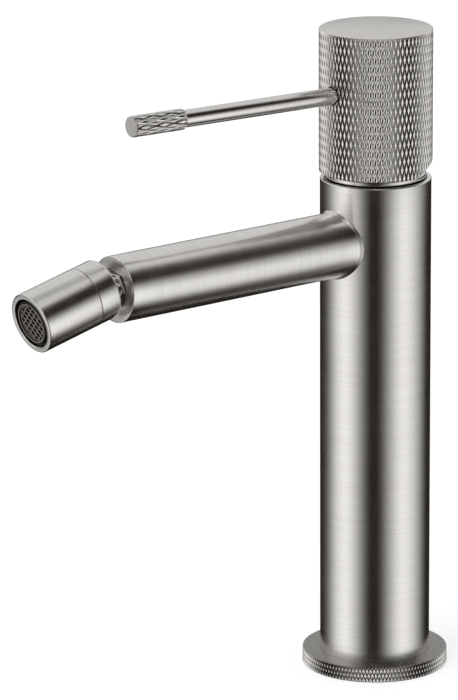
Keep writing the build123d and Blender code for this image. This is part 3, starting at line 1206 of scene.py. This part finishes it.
@dataclass
class Lever(Assembly):
    """The pin and its knurled end."""

    body = "handle"
    height: float = 182.3
    rise: float = 1.21
    rod_r: float = 2.62
    rod_start: float = 7.9
    rod_edge: float = 0.2
    shoulder: float = 74.2
    shoulder_edge: float = 0.1
    tenon_r: float = 1.9
    rod_end: float = 83.95
    grip_r: float = 3.2
    grip_start: float = 74.25
    grip_end: float = 92.7
    grip_edge: float = 0.15
    grip_chamfer: float = 0.26
    chamfer_rise: float = 0.6
    socket_r: float = 1.95
    socket_end: float = 84.25
    knurl: Knurl = Knurl(12, 6.8, 0.56, 0.24, 76.0)
    sides: int = 96

    def __post_init__(self) -> None:
        """Works out the lever's frame."""
        turn = math.radians(self.rise)
        self.axis = Frame((0.0, 0.0, self.height), (0.0, -math.cos(turn), math.sin(turn)))

    def build(self) -> None:
        """Makes the pin and the grip."""
        rod = turned(
            (
                (0, self.rod_start), (self.rod_r, self.rod_start, self.rod_edge),
                (self.rod_r, self.shoulder, self.shoulder_edge), (self.tenon_r, self.shoulder),
                (self.tenon_r, self.rod_end, self.rod_edge), (0, self.rod_end),
            ),
            self.sides,
            closed=False,
        ).mesh("rod")
        self.piece("lever_rod_drawn", rod, Finish.DRAWN, "lever_rod")
        low, high = self.grip_start - OVERCUT, self.grip_end + OVERCUT
        bar = self.knurl.bar(self.grip_r, low, high).mesh("grip")
        shoulder = self.grip_end - self.grip_chamfer
        blank = turned(
            (
                (0, self.socket_end), (self.socket_r, self.socket_end),
                (self.socket_r, self.grip_start), (self.grip_r, self.grip_start, self.grip_edge),
                (self.grip_r, shoulder), (self.grip_r - self.grip_chamfer, self.grip_end),
                (0, self.grip_end),
            ),
            self.sides,
            closed=False,
        ).mesh("blank")
        mesh = carved(bar, (Carve.KEEP, blank))
        grip = self.piece("lever_grip_knurled", mesh, Finish.KNURLED_GRIP, "lever_grip")
        end, rise = shoulder * MM, self.chamfer_rise
        self.refinish(grip, Finish.FACED, lambda f: f.center.z > end and f.normal.z > rise)


@dataclass
class SprayHead(Assembly):
    """The swivelling head and its aerator, along its own axis from the ball's centre."""

    body = "head"
    ball_reach: float = 108.2
    spout_z: float = 136.4
    droop: float = 13.56
    outer_r: float = 9.2
    rear: float = -4.56
    rear_round: float = 1.0
    rear_edge: float = 0.15
    seam: float = 2.71
    seam_edge: float = 0.06
    seam_gap: float = 0.22
    seam_band: float = 1.5
    front: float = 22.15
    front_edge: float = 0.35
    cavity_r: float = 7.65
    cavity_steps: int = 16
    mouth_half_angle: float = 58.5
    tail_r: float = 8.3
    tail_end: float = 0.91
    step_r: float = 8.35
    step_z: float = 0.61
    outlet_r: float = 7.54
    outlet_edge: float = 0.2
    web_r: float = 5.5
    web_low: float = 9.2
    chamber_low: float = 10.0
    thread_room: float = 0.05
    housing_low: float = 10.8
    thread_end: float = 19.6
    nose_r: float = 6.9
    nose_front: float = 21.6
    nose_edge: float = 0.25
    crest_r: float = 6.05
    crest_front: float = 22.1
    crest_edge: float = 0.12
    crest_depth: float = 0.06
    throat_r: float = 5.75
    throat_edge: float = 0.1
    lip: float = 1.1
    lip_r: float = 5.0
    mesh_front: float = 21.5
    mesh_thick: float = 0.18
    mesh_r: float = 5.7
    mesh_rim: float = 0.3
    mesh_pitch: float = 1.73
    mesh_bar: float = 0.27
    mesh_draft: float = 0.06
    mesh_overcut: float = 0.1
    mesh_sides: int = 96

    def __post_init__(self) -> None:
        """Works out the head's frame."""
        turn = math.radians(self.droop)
        along = (0.0, -math.cos(turn), -math.sin(turn))
        self.axis = Frame((0.0, -self.ball_reach, self.spout_z), along)

    def build(self) -> None:
        """Makes the shell and the aerator, and dresses the rest."""
        collar, housing = self._collar().mesh("collar"), self._housing().mesh("housing")
        self.piece("head_collar_brushed", collar, Finish.BRUSHED, "head_collar")
        start = self.seam + self.seam_gap / 2
        shell = turned(
            (
                (self.cavity_r, self.tail_end), (self.tail_r, self.tail_end),
                (self.tail_r, start), (self.outer_r, start, self.seam_edge),
                (self.outer_r, self.seam + self.seam_band),
                (self.outer_r, self.front, self.front_edge),
                (self.outlet_r, self.front, self.outlet_edge),
                (self.outlet_r, self.chamber_low), (self.web_r, self.chamber_low),
                (self.web_r, self.web_low), (self.cavity_r, self.web_low),
            )
        ).mesh("shell")
        self.piece("head_body_brushed", shell, Finish.BRUSHED, "head_body")
        plastic = "aerator_plastic"
        nose = self.piece(
            "aerator_housing_moulded", housing, Finish.AERATOR, "aerator_housing", plastic
        )
        crest = (self.crest_front - self.crest_depth) * MM
        self.refinish(nose, Finish.LATTICE, lambda f: f.center.z > crest)
        self.piece("aerator_mesh_moulded", self._grid(), Finish.LATTICE, "aerator_mesh", "steel")
        # The aerator screen wears the black plastic finish so that the grid's holes show dark:
        # painted shade behind the holes.
        self.dress(Finish.AERATOR, "jet_disc", "aerator_screen")
        self.dress(Finish.RUBBER, "seat_spring", "aerator_washer")
        self.dress(Finish.JOINT, "ball_liner", "ball_seat")

    def _housing(self) -> Shape:
        """Makes the aerator's housing: a threaded sleeve, a sloping nose and a thin crest.

        Returns:
            The shape.
        """
        thread_r = self.outlet_r - self.thread_room
        return turned(
            (
                (self.lip_r, self.housing_low), (thread_r, self.housing_low),
                (thread_r, self.thread_end), (self.nose_r, self.thread_end),
                (self.nose_r, self.nose_front, self.nose_edge),
                (self.crest_r, self.crest_front, self.crest_edge),
                (self.throat_r, self.crest_front, self.throat_edge),
                (self.throat_r, self.housing_low + self.lip),
                (self.lip_r, self.housing_low + self.lip),
            )
        )

    def _grid(self) -> bpy.types.Mesh:
        """Makes the mouth's grid: square holes at 45 degrees, each a little wider in front.

        Returns:
            The mesh.
        """
        holes = Shape()
        low, high = self.mesh_front - self.mesh_thick, self.mesh_front
        half = (self.mesh_pitch - self.mesh_bar) / 2
        ends = (
            (low - self.mesh_overcut, half - self.mesh_draft),
            (high + self.mesh_overcut, half + self.mesh_draft),
        )
        rows = math.ceil(self.mesh_r / self.mesh_pitch)
        turn = math.sqrt(0.5)
        for i in range(-rows, rows + 1):
            for j in range(-rows, rows + 1):
                squares = []
                for height, wall in ends:
                    corners = []
                    for u, v in ((-wall, -wall), (wall, -wall), (wall, wall), (-wall, wall)):
                        x, y = i * self.mesh_pitch + u, j * self.mesh_pitch + v
                        corners.append(((x - y) * turn, (x + y) * turn, height))
                    squares.append(holes.add(corners))
                holes.bridge(*squares)
                holes.faces += [tuple(reversed(squares[0])), tuple(squares[1])]
        inside = plain_bar(
            self.mesh_r - self.mesh_rim, low - OVERCUT, high + OVERCUT, self.mesh_sides
        )
        kept = carved(holes.mesh("holes"), (Carve.KEEP, inside))
        return carved(plain_bar(self.mesh_r, low, high, self.mesh_sides), (Carve.CUT, kept))

    def _collar(self) -> Shape:
        """Makes the rear part, open behind for the ball's neck to swing in.

        Returns:
            The shape.
        """
        half = math.radians(self.mouth_half_angle)
        cavity = ball_arc(self.cavity_r, 0.0, math.pi - half, math.pi / 2, self.cavity_steps)
        end = self.seam - self.seam_gap / 2
        return turned(
            (
                (-self.rear * math.tan(half), self.rear, self.rear_edge),
                (self.outer_r, self.rear, self.rear_round),
                (self.outer_r, end, self.seam_edge), (self.step_r, end),
                (self.step_r, self.step_z), (self.cavity_r, self.step_z), *reversed(cavity),
            )
        )


# Studio


SHOWN_RAYS = ("Is Camera Ray", "Is Glossy Ray", "Is Transmission Ray")


@dataclass(frozen=True)
class Flag:
    """A dark cloth in the wall, in degrees, its azimuth counted from the camera to its right."""

    azimuth: float
    elevation: float
    half_width: float
    half_height: float
    soft_side: float
    soft_above: float
    soft_below: float
    opacity: float

    def cover(self, graph: Graph, azimuth: Sock, elevation: Sock) -> Sock:
        """Works out how much of the wall it covers.

        Args:
            graph: the tree that the nodes go into.
            azimuth: the wall's azimuth.
            elevation: the wall's elevation.

        Returns:
            Its opacity there.
        """
        aside = abs(graph.math("WRAP", azimuth - self.azimuth, 180.0, -180.0))
        above = elevation - self.elevation - self.half_height
        below = self.elevation - self.half_height - elevation
        wide = 1 - graph.smooth(aside, self.half_width, self.half_width + self.soft_side)
        under = 1 - graph.smooth(above, 0.0, self.soft_above)
        over = 1 - graph.smooth(below, 0.0, self.soft_below)
        return self.opacity * wide * (under * over)


@dataclass
class Studio:
    """A pale floor, a white surround with dark flags for the metal, a soft key and the camera."""

    camera_azimuth: float = 52.028
    camera_elevation: float = 15.606
    camera_roll: float = -0.346
    camera_distance: float = 1485.15
    camera_near: float = 0.05
    camera_far: float = 50.0
    focal_pixels: float = 4830.96
    image_height: float = 700.0
    sensor: float = 36.0
    aim_right: float = -44.95
    aim_up: float = 100.65
    surround_light: float = 0.62
    floor_half: float = 6.0
    floor_paint: float = 0.8
    floor_glow: float = 1.35
    floor_glow_share: float = 0.5
    tent_r: float = 4.0
    tent_z: float = 0.1
    cloth: Colour = (0.016, 0.0125, 0.009)
    key_energy: float = 1.25
    key_spread: float = 40.0
    key_aside: float = 50.0
    key_rise: float = 1.9
    flags: tuple[Flag, ...] = (
        Flag(-4, -35, 6, 60, 60, 15, 15, 1.0),
        Flag(62, 38, 28, 9, 40, 30, 42, 1.0),
        Flag(-55, 58, 30, 17, 30, 15, 12, 0.9),
        Flag(168, -40, 32, 43, 80, 8, 8, 1.0),
        Flag(-150, -10, 13, 12, 77, 8, 10, 0.9),
        Flag(180, 60, 50, 52, 40, 8, 8, 0.36),
        Flag(0, 90, 181, 15, 1, 15, 15, 0.4),
        Flag(0, -75, 181, 18, 1, 32, 32, 1.0),
    )

    def build(self) -> None:
        """Makes the set."""
        self._world()
        self._floor()
        self._tent()
        self._key()
        self._camera()
        log.info("the studio is set")

    def _world(self) -> None:
        """White for the camera and for what metal and glass show, dimmer as a light."""
        world = bpy.data.worlds.new("studio_white")
        bpy.context.scene.world = world
        world.use_nodes = True
        graph = Graph(world.node_tree)
        strength = self.surround_light + (1 - self.surround_light) * self._shown(graph)
        values = {"Color": (1.0, 1.0, 1.0, 1.0), "Strength": strength}
        graph.node("OutputWorld", {}, {"Surface": graph.node("Background", {}, values)})
        world.cycles.sampling_method = "NONE"

    @staticmethod
    def _shown(graph: Graph) -> Sock:
        """1 for camera, glossy and transmission rays, which show the background."""
        camera, glossy, through = (graph.node("LightPath", {}, {}, ray) for ray in SHOWN_RAYS)
        return graph.math("MAXIMUM", graph.math("MAXIMUM", camera, glossy), through)

    @staticmethod
    def _staged(name: str, mesh: bpy.types.Mesh, material: bpy.types.Material) -> bpy.types.Object:
        """Sets up a floor or a wall, which isn't part of the mixer.

        Args:
            name: its name.
            mesh: its mesh.
            material: its material, which doesn't count as a lamp.

        Returns:
            The object.
        """
        mesh.materials.append(material)
        material.cycles.emission_sampling = "NONE"
        made = placed(name, mesh)
        return made

    def _floor(self) -> None:
        """A pale floor that shows white and keeps the soft shadow."""
        half = self.floor_half
        mesh = bpy.data.meshes.new("floor")
        corners = ((-half, -half, 0), (half, -half, 0), (half, half, 0), (-half, half, 0))
        mesh.from_pydata(corners, [], [(0, 1, 2, 3)])
        material, graph = new_material("pale_floor")
        paint = graph.node("BsdfDiffuse", {}, {"Color": (*[self.floor_paint] * 3, 1.0)})
        white = {"Color": (1.0, 1.0, 1.0, 1.0), "Strength": self.floor_glow}
        glow = graph.node("Emission", {}, white)
        share = self.floor_glow_share * self._shown(graph)
        graph.surface("MixShader", {0: share, 1: paint, 2: glow})
        self._staged("floor", mesh, material).visible_glossy = False

    def _tent(self) -> None:
        """The wall round the set: clear where the surround shows, dark where a flag hangs."""
        bm = bmesh.new()
        bmesh.ops.create_uvsphere(bm, u_segments=64, v_segments=32, radius=self.tent_r)
        mesh = bpy.data.meshes.new("flags")
        bm.to_mesh(mesh)
        bm.free()
        material, graph = new_material("dark_flags")
        place = graph.vector("NORMALIZE", graph.node("TexCoord", {}, {}, "Object"))
        sides = ((1, 0, 0), (0, 1, 0), (0, 0, 1))
        x, y, z = (graph.vector("DOT_PRODUCT", place, side, output=1) for side in sides)
        azimuth = graph.math("DEGREES", graph.math("ARCTAN2", x, 0 - y))
        elevation = graph.math("DEGREES", graph.math("ARCSINE", z))
        clear: Term = 1.0
        for flag in self.flags:
            clear = clear * (1 - flag.cover(graph, azimuth, elevation))
        dark = graph.node("Emission", {}, {"Color": (*self.cloth, 1.0), "Strength": 1.0})
        gap = graph.node("BsdfTransparent", {}, {})
        graph.surface("MixShader", {0: 1 - clear, 1: gap, 2: dark})
        tent = self._staged("flags", mesh, material)
        tent.rotation_euler[2] = math.radians(self.camera_azimuth)
        tent.location = (0, 0, self.tent_z)
        tent.visible_camera = False
        tent.visible_diffuse = False
        tent.visible_shadow = False

    def _key(self) -> None:
        """A broad soft key from the upper left, for the shadow and the plastics."""
        light = bpy.data.lights.new("key", "SUN")
        light.energy = self.key_energy
        light.angle = math.radians(self.key_spread)
        key = placed("key", light)
        turn = math.radians(self.camera_azimuth - self.key_aside)
        start = Vector((math.sin(turn), -math.cos(turn), self.key_rise))
        key.rotation_euler = start.to_track_quat("Z", "Y").to_euler()
        key.visible_glossy = False

    def _camera(self) -> None:
        """The camera at the photograph's angle."""
        a, e = math.radians(self.camera_azimuth), math.radians(self.camera_elevation)
        roll = math.radians(self.camera_roll)
        back = Vector((math.sin(a) * math.cos(e), -math.cos(a) * math.cos(e), math.sin(e)))
        right = Vector((math.cos(a), math.sin(a), 0))
        up = back.cross(right)
        across = right * math.cos(roll) + up * math.sin(roll)
        upright = -right * math.sin(roll) + up * math.cos(roll)
        aim = Vector((0, 0, self.aim_up)) + right * self.aim_right
        data = bpy.data.cameras.new("camera")
        data.sensor_width = self.sensor
        data.lens = self.focal_pixels / self.image_height * self.sensor
        data.clip_start = self.camera_near
        data.clip_end = self.camera_far
        camera = placed("camera", data)
        turn = Matrix((across, upright, back)).transposed().to_4x4()
        camera.matrix_world = Matrix.Translation((aim + back * self.camera_distance) * MM) @ turn
        bpy.context.scene.camera = camera


def main() -> None:
    """Builds the sub-assemblies in order, then the studio."""
    logging.basicConfig(level=logging.INFO, format="%(name)s: %(message)s")
    bpy.context.scene.view_settings.view_transform = "Standard"
    lever = Lever()
    Foot().build()
    Column().build()
    Spout().build()
    Cartridge().build()
    Knob().build(lever.axis)
    lever.build()
    SprayHead().build()
    Studio().build()


if __name__ == "__main__":
    main()
